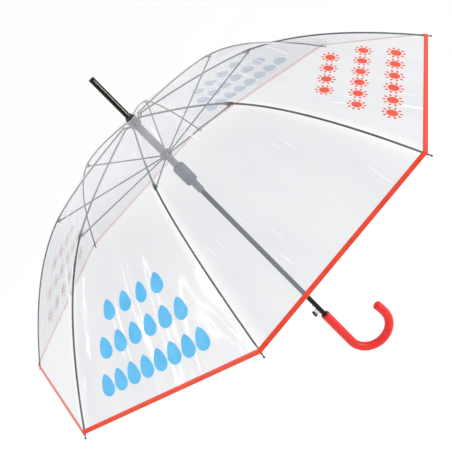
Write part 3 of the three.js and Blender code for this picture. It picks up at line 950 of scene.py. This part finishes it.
def helix(name, radius, wire, low, high, turns, per_turn=24):
    """A coil about the shaft's axis, its first and last turns closed up."""
    ends = 1 / turns
    steep = wire * 2 * turns / (high - low)
    start = ends * steep
    total = turns * per_turn
    centres = []
    sides = []
    for step in range(total + 1):
        t = step / total
        if t < ends:
            rise = t * steep
        elif t > 1 - ends:
            rise = 1 - (1 - t) * steep
        else:
            rise = start + (t - ends) / (1 - 2 * ends) * (1 - 2 * start)
        sides.append(outward(2 * math.pi * turns * t))
        centres.append(sides[-1] * radius + UP * (low + (high - low) * rise))
    return sweep(name, centres, sides, circle(wire, 8))


def add_runner():
    bottom, top = heights("runner_tube")
    low, high = heights("runner_sleeve")
    middle = FOLLOWER_MIDDLE
    outline = rounded([(5.5, bottom), (7.4, bottom), (7.4, high), (6, high), (6, top), (5.5, top)], 0.3)
    cutters = [
        button_box("slot", (4, 9), 3.6, (bottom - 2, bottom + 22)),
        button_box("window", (4, 9), 2.7, (bottom + 24.2, bottom + 31.2)),
        button_box("pin_hole", (4, 9), 1.2, (middle - 1.2, middle + 1.2)),
    ]
    dress(combine(lathe("runner_barrel", outline), cutters), "sleeve_plastic", "runner", "runner_tube")
    grip = [(7.7, low), (11.3, low), (12.2, low + 0.9), (12.5, low + 2.2)]
    for groove in range(5):
        z = low + 6 + 3 * groove
        grip += [(12.5, z), (12.05, z + 0.5), (12.05, z + 1.0), (12.5, z + 1.5)]
    grip += [(12.5, high - 6), (12.3, high - 4.2), (11.2, high - 1.4), (10.2, high - 0.3), (9.6, high),
             (7.7, high)]
    flutes = [box_mesh("flute", (11.95, -1.0, high - 20), (14, 1.0, high - 8), 0.5, index * math.pi / 3 + 0.3)
              for index in range(6)]
    dress(combine(lathe("runner_grip", grip, crease=50), flutes), "sleeve_plastic", "runner", "runner_sleeve")
    rim = low - 0.3
    outline = rounded([(7.45, rim - 2.4), (8.3, rim - 2.4), (8.6, rim - 1.6), (8.6, rim), (7.45, rim)], 0.3)
    collar = combine(lathe("runner_collar", outline), [button_box("slot", (4, 12), 3.6, (rim - 9, rim + 2))])
    dress(collar, "sleeve_plastic", "runner")
    spring = helix("cushion_coil", 6.85, 0.5, high + 0.7, CROWN_LOW - 0.7, 9)
    dress(spring, "spring_steel", "runner", "runner_spring")
    stations = [(3.0, 0.9), (6.6, 0.9), (7.0, 0.8), (7.1, 0.5)]
    pin = sweep("pin", [outward(BUTTON_TURN) * reach + UP * middle for reach, _ in stations], UP,
                [circle(radius, 14) for _, radius in stations])
    follower = merge("pin_follower", [barrel("follower", 0, 3.8, middle - 4, middle + 4, 0.5, 40), pin])
    dress(follower, "button_black", "runner", "spring_follower")


def add_shaft():
    latch = STEM_TOP - 2.75
    cutters = [
        button_box("slot", (3, 7), 1.2, (FOLLOWER_MIDDLE - TRAVEL - 1.8, FOLLOWER_MIDDLE + 1.8)),
        button_box("window", (3, 7), 2.35, (latch - 3.65, latch + 3.65)),
        button_box("hole", (3, 7), 2.35, (GUIDE_MIDDLE - 5.7, GUIDE_MIDDLE + 5.7)),
    ]
    tube = combine(barrel("shaft_barrel", 4.2, 5, SHAFT_LOW, SHAFT_HIGH, 0.2, 64), cutters)
    dress(tube, "shaft_black", "frame", "shaft_tube")
    low, high = heights("drive_spring")
    coil = helix("pull_coil", 3, 0.4, low + 0.4, high - 0.4, 48, per_turn=14)
    dress(coil, "spring_steel", "frame", "drive_spring")
    low, high = heights("stop_sleeve")
    window = box_mesh("window", (4.5, -1.5, high - 16.5), (11, 1.5, high - 5.5), 1.2, math.pi / 3)
    sleeve = combine(barrel("stop_barrel", 5.3, 7.3, low, high, 0.4), [window])
    dress(sleeve, "sleeve_plastic", "frame", "stop_sleeve")


def add_ferrule():
    low, high = heights("ferrule_spike")
    collar_low, collar_high = heights("ferrule_collar")
    base = collar_high + 0.3
    outline = [(0, low), (3.5, low), (3.9, low + 0.6), (3.9, base), (5.6, base), (5.6, base + 1.2),
               (5.2, base + 1.6), (5.2, base + 2.3), (5.6, base + 2.8), (5.6, high - 7.5), (5.3, high - 7.1),
               (5.3, high - 6.5), (5.6, high - 6.1), (5.6, high - 1.1), (5.3, high - 0.4), (4.7, high),
               (0, high)]
    spike = dress(lathe("spike", outline, crease=35), "ferrule_nickel", "frame", "ferrule_spike")
    low, high = collar_low, collar_high
    flare = [(5.3, low), (9.2, low), (9.7, low + 0.5), (9.7, low + 1.6), (9.4, low + 2.1)]
    for step in range(7):
        t = step / 6
        flare.append((7.1 + 2.0 * (1 - t) ** 2, low + 2.3 + (high - low - 3.0) * t))
    flare += [(7.1, high - 0.3), (6.8, high), (5.3, high)]
    collar = dress(lathe("collar", flare, crease=35), "collar_black", "frame", "ferrule_collar")
    kicker = add_area("kicker", (0.876, 1.074, 0.066), (0, 0, 1), (0.26, 0.9), 45)
    lit = bpy.data.collections.new("kicker_pieces")
    for piece in (spike, collar):
        lit.objects.link(piece)
    kicker.light_linking.receiver_collection = lit
    kicker.light_linking.blocker_collection = lit


def add_washer():
    low, high = WASHER_LOW, WASHER_HIGH
    outline = rounded([(5.3, low), (12.6, low), (13, low + 0.5), (9.5, high), (5.3, high)], 0.3)
    washer = lathe("rosette", outline, 96)
    petals = 16
    for vertex in washer.data.vertices:
        x, y, _ = vertex.co
        if math.hypot(x, y) > 9 * MM:
            scale = 1 - 0.10 * (0.5 + 0.5 * math.cos(petals * math.atan2(y, x))) ** 2
            vertex.co.xy = x * scale, y * scale
    dress(washer, "washer_clear", "frame", "canopy_washer")


# ---------------------------------------------------------------- handle and button

def grip_section(radius, count=48, ridge=0.14):
    """A round section with the faint mould line that runs round the crook's plane."""
    section = []
    for k in range(count):
        angle = 2 * math.pi * k / count
        bulge = ridge if k in (count // 4, 3 * count // 4) else 0.0
        section.append(((radius + bulge) * math.cos(angle), (radius + bulge) * math.sin(angle)))
    return section


def add_handle():
    forward = outward(CROOK_TURN)
    top = heights("handle")[1]
    mouth = [(0, 1.1), (0.35, 0.45), (0.9, 0.12), (1.6, 0)]  # down from the top, and short of the radius
    start = top - mouth[-1][0]

    def arc(centre, radius, first, last, steps):
        """Points of an arc in the crook's plane, all but its first."""
        angles = [first + (last - first) * step / steps for step in range(1, steps + 1)]
        return [centre + (forward * math.cos(angle) + UP * math.sin(angle)) * radius for angle in angles]

    line = [UP * (top - drop) for drop, _ in mouth]
    line += [UP * (start + (CROOK_CENTRE - start) * step / 14) for step in range(1, 15)]
    line += arc(forward * CROOK_RADIUS + UP * CROOK_CENTRE, CROOK_RADIUS, math.pi, 2 * math.pi, 44)
    line += arc(forward * (2 * CROOK_RADIUS - CURL_RADIUS) + UP * CROOK_CENTRE, CURL_RADIUS, 0, CURL, 6)
    radii = [GRIP_RADIUS - less for _, less in mouth] + [GRIP_RADIUS] * (len(line) - len(mouth))
    end = line[-1]
    ahead = UP * math.cos(CURL) - forward * math.sin(CURL)
    for step in range(1, 11):
        angle = math.pi / 2 * step / 10
        line.append(end + ahead * (CROOK_END * math.sin(angle)))
        radii.append(max(0.08, GRIP_RADIUS * math.cos(angle)))
    body = sweep("crook", line, sideways(CROOK_TURN), [grip_section(radius) for radius in radii])
    bore = barrel("bore", 0, 5.3, SHAFT_LOW - 0.4, 5, 0, 48)
    dress(combine(body, [bore]), "grip_red", "frame", "handle")
    # The ring at the top of the grip is a part of the frame, and its dark red is painted shade of the recess
    # where the grip meets the shaft.
    low, high = heights("handle_ring")
    outline = rounded([(5.3, low), (8.9, low), (8.9, low + 1.2), (8.0, high), (5.3, high)], 0.35)
    dress(lathe("grip_ring", outline, 64), "grip_ring", "frame", "handle_ring")


def capsule(half_length, radius, count=20):
    """A long round outline: two half circles joined by straight sides, long way along Y."""
    outline = []
    for end in (1, -1):
        for step in range(count // 2 + 1):
            angle = math.pi * step / (count // 2) + (0 if end > 0 else math.pi)
            outline.append((radius * math.cos(angle), end * half_length + radius * math.sin(angle)))
    return outline


def add_button():
    middle = GUIDE_MIDDLE
    direction = outward(BUTTON_TURN)
    guide = button_box("guide", (5.4, 8.4), 3.2, (middle - 6.5, middle + 6.5), 0.5)
    hole = button_box("hole", (4, 10), 2.35, (middle - 5.65, middle + 5.65))
    dress(combine(guide, [hole]), "button_white", "frame", "button_guide")
    plunger = button_box("plunger_latch", (2.7, 11.3), 2, (middle - 5.3, middle + 5.3), 0.3)
    lever = button_box("lever", (1, 3.2), 2, (middle - 5.1, STEM_TOP))
    tooth = button_box("tooth", (3.0, 6.5), 2, (STEM_TOP - 5.5, STEM_TOP - 0.6), 0.3)
    dress(combine(plunger, [lever, tooth], "UNION"), "button_white", "button", "button_stem")
    stations = [(11.9, 4.2), (12.2, 4.9), (12.8, 5.15), (15.6, 5.15), (16.5, 4.8), (17.1, 4.1), (17.4, 3.0),
                (17.15, 1.6), (17.05, 0.4)]
    cap = sweep("thumb_cap", [direction * reach + UP * middle for reach, _ in stations],
                sideways(BUTTON_TURN), [capsule(2.0, radius) for _, radius in stations])
    dress(cap, "button_black", "button", "button_cap")
    coil_low, coil_high = 0.25, 3.9
    coil = helix("button_coil", 1.4, 0.25, coil_low, coil_high, 5, per_turn=16)
    place = Matrix.Rotation(BUTTON_TURN, 4, "Z") @ Matrix.Translation(Vector((0.6, 0, middle)) * MM)
    coil.data.transform(place @ Matrix.Rotation(-math.pi / 2, 4, "Y"))
    dress(coil, "spring_steel", "button", "button_spring")
    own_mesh(coil)


# ---------------------------------------------------------------- build

add_camera()
add_studio()
add_shaft()
add_ferrule()
add_washer()
add_hubs()
add_runner()
add_handle()
add_button()
SUNS = ("print_orange", sun_mark, SUN_ROWS)
DROPS = ("print_blue", drop_mark, DROP_ROWS)
PRINTS = {1: SUNS, 3: DROPS, 5: SUNS, 7: DROPS}
for rib_number in range(1, RIBS + 1):
    add_rib(rib_number)
    add_bracket(rib_number)
    add_stretcher(rib_number)
    add_tip(rib_number)
    for half in (1, -1):
        add_film(rib_number, half, 0)
        add_film(rib_number, half, 1)
        add_hem(rib_number, half)
        gore, _ = gore_place(rib_number, half, 0)
        if gore in PRINTS:
            add_print(rib_number, half, *PRINTS[gore])

bpy.context.view_layer.update()
